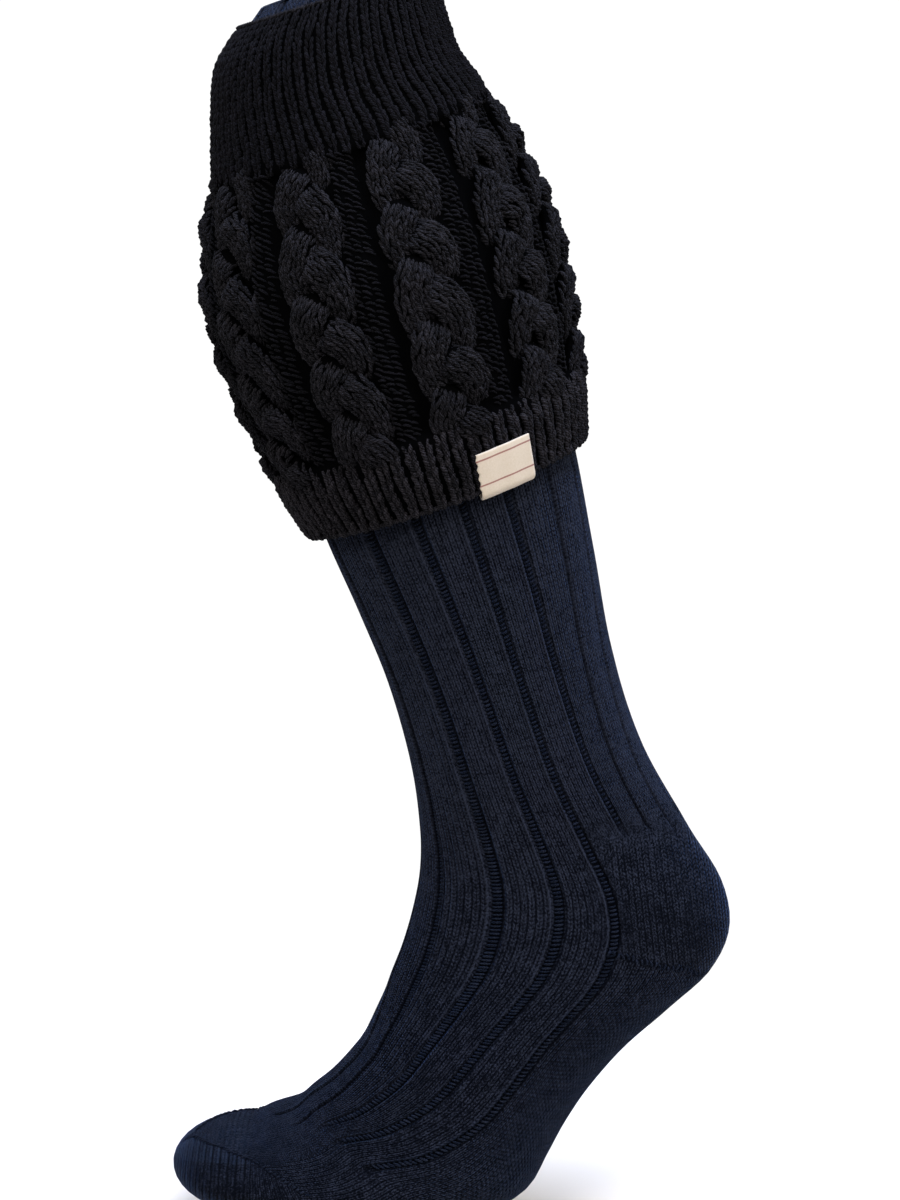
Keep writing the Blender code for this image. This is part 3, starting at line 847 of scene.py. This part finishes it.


# Colours of the darkest and the lightest fibres of each finish. Some are darker or lighter copies of one
# yarn that paint shade or light, as marked
NAVY_DARK = (0.0006, 0.0010, 0.0024)
NAVY_LIGHT = (0.0162, 0.0188, 0.0285)
NAVY_YARN_LIGHT = (0.0175, 0.0195, 0.0275)
NAVY_SHEEN = (0.25, 0.45, 1.0, 1.0)
BLACK_DARK = (0.0010, 0.0010, 0.0012)
BLACK_LIGHT = (0.0245, 0.0230, 0.0275)
# The top band and the purl ground use a darker copy of the heavy black yarn: painted shade
BAND_LIGHT = (0.0078, 0.0070, 0.0096)
# The hem band uses a lighter copy of the same black yarn: painted light
HEM_LIGHT = (0.0300, 0.0270, 0.0310)
# A near black for the cuff's backing and the strands' hearts: painted shade behind the stitches
GROUND_PAINTED_SHADE = (0.0009, 0.0009, 0.0010)
CREAM_DARK = (0.45, 0.36, 0.26)
CREAM_LIGHT = (0.64, 0.55, 0.44)
LABEL_RED = (0.17, 0.012, 0.016, 1.0)
FLOOR_COLOUR = (0.80, 0.72, 0.62)


class Nodes:
    """Short ways to add and join the nodes of one material."""

    def __init__(self, name):
        self.material = bpy.data.materials.new(name)
        self.material.use_nodes = True
        self.tree = self.material.node_tree
        self.shader = self.tree.nodes["Principled BSDF"]

    def set(self, **values):
        for key, value in values.items():
            self.shader.inputs[key.replace("_", " ")].default_value = value

    def add(self, kind, **settings):
        node = self.tree.nodes.new("ShaderNode" + kind)
        for key, value in settings.items():
            setattr(node, key, value)
        return node

    def fill(self, node, slot, value):
        if isinstance(value, bpy.types.NodeSocket):
            self.tree.links.new(value, node.inputs[slot])
        else:
            node.inputs[slot].default_value = value

    def math(self, operation, *values):
        node = self.add("Math", operation=operation)
        for i, value in enumerate(values):
            self.fill(node, i, value)
        return node.outputs[0]

    def place(self, shaped=None):
        """The wale and course of a point of the knit, which run another way where shaped is 1."""
        split = self.add("SeparateXYZ")
        place = self.add("UVMap", uv_map="knit").outputs[0]
        if shaped is not None:
            choice = self.add("Mix", data_type="VECTOR")
            self.fill(choice, 0, shaped)
            self.fill(choice, 4, place)
            self.fill(choice, 5, self.add("UVMap", uv_map="shaped_knit").outputs[0])
            place = choice.outputs[1]
        self.fill(split, 0, place)
        return split.outputs[0], split.outputs[1]

    def noise(self, scale, detail=3.0, rough=0.5):
        node = self.add("TexNoise")
        self.fill(node, "Vector", self.add("TexCoord").outputs["Object"])
        self.fill(node, "Scale", scale)
        self.fill(node, "Detail", detail)
        self.fill(node, "Roughness", rough)
        return node.outputs["Fac"]

    def between(self, factor, low, high):
        """A colour between low and high."""
        ramp = self.add("Mix", data_type="RGBA", clamp_factor=True)
        self.fill(ramp, 0, factor)
        self.fill(ramp, 6, (*low, 1.0))
        self.fill(ramp, 7, (*high, 1.0))
        return ramp.outputs[2]

    def span(self, value, low, high, new_low=0.0, new_high=1.0):
        node = self.add("MapRange")
        for i, item in enumerate((value, low, high, new_low, new_high)):
            self.fill(node, i, item)
        return node.outputs[0]

    def bump(self, height, distance, strength=1.0, under=None):
        node = self.add("Bump")
        self.fill(node, "Height", height)
        self.fill(node, "Distance", distance)
        self.fill(node, "Strength", strength)
        if under is not None:
            self.fill(node, "Normal", under)
        return node.outputs[0]

    def finish(self, colour, normal):
        self.fill(self.shader, "Base Color", colour)
        self.fill(self.shader, "Normal", normal)
        return self.material


def fine_knit_finish(name, dark, light):
    """Fine navy wool: rows of small V stitches on each wale, with painted shade between them and in the
    sunk columns, a painted highlight on the wale beside a column, and painted shade that darkens the foot
    and the shaped knit."""
    nodes = Nodes(name)
    side = nodes.add("Attribute", attribute_name="shaped").outputs["Fac"]
    wale, course = nodes.place(nodes.math("GREATER_THAN", side, 0.0))
    off_middle = nodes.math("ABSOLUTE", nodes.math("SUBTRACT", nodes.math("FRACT", wale), 0.5))
    leg = nodes.math("SINE", nodes.math("MULTIPLY", off_middle, 2 * math.pi))
    leg = nodes.math("POWER", nodes.math("MAXIMUM", leg, 0.0), 0.8)
    middle = nodes.span(off_middle, 0.0, 0.5, 0.45, 0.0)
    leg = nodes.math("MULTIPLY_ADD", leg, 0.75, middle)
    lean = nodes.math("MULTIPLY_ADD", off_middle, 1.6, course)
    swell = nodes.math("SINE", nodes.math("MULTIPLY", nodes.math("FRACT", lean), math.pi))
    stitch = nodes.math("MULTIPLY", leg, nodes.math("MULTIPLY_ADD", swell, 0.55, 0.45))
    along = nodes.place()[1]
    from_seam = nodes.math("ABSOLUTE", side)
    gore = nodes.math("GREATER_THAN", along, GORE_START / COURSE)
    seam = nodes.math("MULTIPLY", nodes.span(from_seam, 0.0, 1.5, 0.7, 0.0), gore)
    stitch = nodes.math("MULTIPLY", stitch, nodes.math("SUBTRACT", 1.0, seam))
    calm = nodes.span(from_seam, 0.0, 9.0, 0.85, 0.0)
    calm = nodes.math("MULTIPLY", calm, nodes.math("SUBTRACT", 1.0, gore))
    lively = nodes.math("SUBTRACT", 1.0, calm)
    stitch = nodes.math("MULTIPLY_ADD", nodes.math("SUBTRACT", stitch, 0.5), lively, 0.5)
    fuzz = nodes.noise(2400.0, 2.0, 0.6)
    cloud = nodes.noise(230.0, 3.0, 0.6)
    # The V pattern darkens the gaps between the stitches' legs: painted shade
    tone = nodes.math("MULTIPLY_ADD", stitch, 1.1, nodes.span(cloud, 0.35, 0.65, -0.25, 0.15))
    tone = nodes.math("ADD", tone, nodes.span(fuzz, 0.3, 0.7, -0.70, 0.60))
    tone = nodes.math("ADD", tone, nodes.span(nodes.noise(1150.0, 1.0, 0.5), 0.3, 0.7, -0.40, 0.35))
    sunk = nodes.add("Attribute", attribute_name="sunk").outputs["Fac"]
    # Painted shade in the sunk columns, deepest in the tight ones
    tone = nodes.math("MULTIPLY", tone, nodes.span(sunk, 0.0, 1.5, 1.0, 0.0))
    # A painted highlight on the fuller wale beside each column
    tone = nodes.math("ADD", tone, nodes.span(sunk, -1.0, -0.3, 0.80, 0.0))
    # Painted shade: darker in the shaped knit of the heel's cup and the toe
    tone = nodes.math("ADD", tone, nodes.span(side, 0.0, 9.0, 0.0, -0.22))
    # Painted shade: darker down the foot
    tone = nodes.math("ADD", tone, nodes.span(along, 190.0, 260.0, 0.0, -0.38))
    colour = nodes.between(tone, dark, light)
    coarse = nodes.bump(stitch, 0.00040, 0.9)
    normal = nodes.bump(fuzz, 0.0002, 0.5, coarse)
    nodes.set(Roughness=0.85, Sheen_Weight=0.14, Sheen_Roughness=0.22, Specular_IOR_Level=0.03)
    nodes.set(Sheen_Tint=NAVY_SHEEN)
    return nodes.finish(colour, normal)


def yarn_finish(name, dark, light, sheen=(0.6, 0.6, 0.66, 1.0), weight=0.02):
    """Wool yarn: streaks of twisted plies, each stitch a little lighter or darker than the next, and
    painted shade along the sides of each bar.
    """
    nodes = Nodes(name)
    aside, run = nodes.place()
    number = nodes.math("FLOOR", run)
    chance = nodes.add("TexWhiteNoise", noise_dimensions="1D")
    nodes.fill(chance, "W", number)
    twist = nodes.math("MULTIPLY_ADD", run, 3.5, aside)
    plies = nodes.math("SINE", nodes.math("MULTIPLY", twist, 2 * math.pi))
    round_off = nodes.math("SUBTRACT", 1.0, nodes.math("POWER", nodes.math("ABSOLUTE", aside), 2.0))
    fuzz = nodes.noise(2400.0, 2.0, 0.6)
    tone = nodes.math("MULTIPLY_ADD", plies, 0.25, nodes.math("MULTIPLY", chance.outputs[0], 0.45))
    tone = nodes.math("ADD", tone, nodes.span(fuzz, 0.3, 0.7, -0.45, 0.60))
    # Painted shade: each bar darker towards its sides, where its neighbours shade it
    tone = nodes.math("MULTIPLY", tone, nodes.math("MULTIPLY_ADD", round_off, 0.6, 0.4))
    colour = nodes.between(tone, dark, light)
    normal = nodes.bump(nodes.math("MULTIPLY_ADD", plies, 0.5, fuzz), 0.0003, 0.7)
    nodes.set(Roughness=0.9, Sheen_Weight=weight, Sheen_Roughness=0.5, Specular_IOR_Level=0.04)
    nodes.set(Sheen_Tint=sheen)
    return nodes.finish(colour, normal)


def label_finish():
    """Cream woven ribbon with fine ribs and a plain dark red line near its top and bottom."""
    nodes = Nodes("cream_ribbon")
    across, run = nodes.place()
    ribs = nodes.math("SINE", nodes.math("MULTIPLY", run, 2 * math.pi * 34))
    weft = nodes.math("SINE", nodes.math("MULTIPLY", across, 2 * math.pi * 52))
    weave = nodes.math("MULTIPLY_ADD", nodes.math("MULTIPLY", ribs, weft), 0.5, 0.5)
    fuzz = nodes.noise(1500.0, 4.0, 0.6)
    tone = nodes.math("MULTIPLY_ADD", weave, 0.35, nodes.math("MULTIPLY", fuzz, 0.65))
    cream = nodes.between(tone, CREAM_DARK, CREAM_LIGHT)
    ends = nodes.math("ABSOLUTE", nodes.math("SUBTRACT", run, 0.5))
    line = nodes.math("COMPARE", ends, 0.33, 0.022)
    mixed = nodes.add("Mix", data_type="RGBA")
    nodes.fill(mixed, 0, nodes.math("MULTIPLY", line, nodes.span(weave, 0.0, 1.0, 0.55, 0.95)))
    nodes.fill(mixed, 6, cream)
    nodes.fill(mixed, 7, LABEL_RED)
    normal = nodes.bump(tone, 0.00025, 0.6)
    nodes.set(Roughness=0.75, Sheen_Weight=0.2, Specular_IOR_Level=0.25)
    return nodes.finish(mixed.outputs[2], normal)


def plain_finish(name, colour, rough):
    """A matt colour with a very faint grain."""
    nodes = Nodes(name)
    grain = nodes.noise(4.0, 2.0, 0.5)
    tone = nodes.between(grain, tuple(0.98 * c for c in colour), colour)
    nodes.set(Roughness=rough, Specular_IOR_Level=0.0)
    nodes.fill(nodes.shader, "Base Color", tone)
    return nodes.material


# The camera is level with the rim and looks a little down, straight at the sock's side
CAMERA_AT = Vector((1.19, -0.0851, 0.35261))
CAMERA_TO = Vector((0.0, -0.0851, 0.13505))
CAMERA_ANGLE = math.radians(20.80)
BACKDROP_EDGE = (-0.85, -0.70)  # X of the directions where the backdrop fades into the room
BACKDROP_LIGHT = 1.05
ROOM_LIGHT = 0.40
FLOOR_SIDE = 0.5
FLOOR_Y = -0.085
FLOOR_DROP = 0.0005  # how far the floor lies below the sock


def make_camera():
    """The photograph's camera."""
    data = bpy.data.cameras.new("camera")
    data.sensor_fit = "VERTICAL"
    data.angle = CAMERA_ANGLE
    data.clip_start = 0.01
    camera = bpy.data.objects.new("camera", data)
    camera.location = CAMERA_AT
    camera.rotation_euler = (CAMERA_TO - CAMERA_AT).to_track_quat("-Z", "Y").to_euler()
    bpy.context.scene.collection.objects.link(camera)
    bpy.context.scene.camera = camera


def add_lamp(name, data, location, towards):
    """A lamp that shines in the direction towards."""
    lamp = bpy.data.objects.new(name, data)
    lamp.location = location
    lamp.rotation_euler = Vector(towards).to_track_quat("-Z", "Y").to_euler()
    bpy.context.scene.collection.objects.link(lamp)


def make_far_lamp(name, direction, spread, power, colour=(1.0, 1.0, 1.0)):
    """A very wide soft lamp far away in a direction, spread degrees across."""
    data = bpy.data.lights.new(name, "SUN")
    data.color = colour
    data.angle = math.radians(spread)
    data.energy = power
    add_lamp(name, data, direction, -Vector(direction))


def make_near_lamp():
    """A small warm lamp near the cuff, which brings out its stitches."""
    data = bpy.data.lights.new("near_lamp", "AREA")
    data.size = 0.25
    data.energy = 3.2
    data.color = (1.0, 0.94, 0.90)
    add_lamp("near_lamp", data, (0.62, -0.15, 0.62), (-0.62, 0.10, -0.32))


def make_world():
    """A white backdrop behind the sock and a dimmer room all round it."""
    world = bpy.data.worlds.new("surround")
    world.use_nodes = True
    tree = world.node_tree
    background = tree.nodes["Background"]
    split = tree.nodes.new("ShaderNodeSeparateXYZ")
    behind = tree.nodes.new("ShaderNodeMapRange")
    tree.links.new(tree.nodes.new("ShaderNodeTexCoord").outputs["Generated"], split.inputs[0])
    tree.links.new(split.outputs["X"], behind.inputs["Value"])
    for slot, value in enumerate((*BACKDROP_EDGE, BACKDROP_LIGHT, ROOM_LIGHT), start=1):
        behind.inputs[slot].default_value = value
    background.inputs["Color"].default_value = (1.0, 1.0, 1.0, 1.0)
    tree.links.new(behind.outputs[0], background.inputs["Strength"])
    bpy.context.scene.world = world


def make_studio():
    """A pale floor under the sock, the world around it and soft lamps above."""
    bpy.ops.mesh.primitive_plane_add(size=FLOOR_SIDE, location=(0, FLOOR_Y, CAD_BOX[0].z - FLOOR_DROP))
    floor = bpy.context.object
    floor.name = "floor"
    floor.data.materials.append(plain_finish("pale_floor", FLOOR_COLOUR, 0.9))
    make_world()
    make_far_lamp("top_lamp", (0.20, 0.15, 1.0), 50, 4.6, (0.70, 0.88, 1.30))
    make_far_lamp("front_lamp", (0.50, -1.0, 0.60), 25, 0.9)
    make_far_lamp("back_lamp", (0.60, 1.0, 0.55), 25, 1.8)
    make_near_lamp()
    bpy.context.scene.view_settings.view_transform = "Standard"
    bpy.context.scene.view_settings.look = "None"


make_camera()
make_studio()

navy = fine_knit_finish("navy_fine_knit", NAVY_DARK, NAVY_LIGHT)
navy_yarn = yarn_finish("navy_yarn", NAVY_DARK, NAVY_YARN_LIGHT, NAVY_SHEEN, 0.05)
heavy = yarn_finish("black_heavy_knit", BLACK_DARK, BLACK_LIGHT)
# A darker copy of the black yarn, painted shade, for the top band and the purl ground between the cables
shaded_black_yarn = yarn_finish("black_knit_painted_shade", BLACK_DARK, BAND_LIGHT)
# A lighter copy of the black yarn for the hem band: painted light
hem = yarn_finish("black_hem_knit_painted_light", BLACK_DARK, HEM_LIGHT)
# Near-black painted shade for the cuff's backing and the strands' hearts, so the gaps between stitches
# read dark
shade = plain_finish("black_painted_shade", GROUND_PAINTED_SHADE, 1.0)

make_sock_knit(navy)
make_sock_inside(navy)
make_ladder_rungs(navy_yarn)
make_gore_stitches(navy_yarn)
make_cuff_ground(shade)
make_band("top_band", BAND_START, TOP_BAND, shaded_black_yarn)
make_band("hem_band", CUFF_LENGTH - HEM_BAND, CUFF_LENGTH, hem)
make_plait_cores(shade)
make_plaits("plaits_front", range(CABLES // 2), heavy)
make_plaits("plaits_back", range(CABLES // 2, CABLES), heavy)
make_purl_ground(shaded_black_yarn)
make_cuff_edges(heavy)
make_ribbon_label(label_finish())
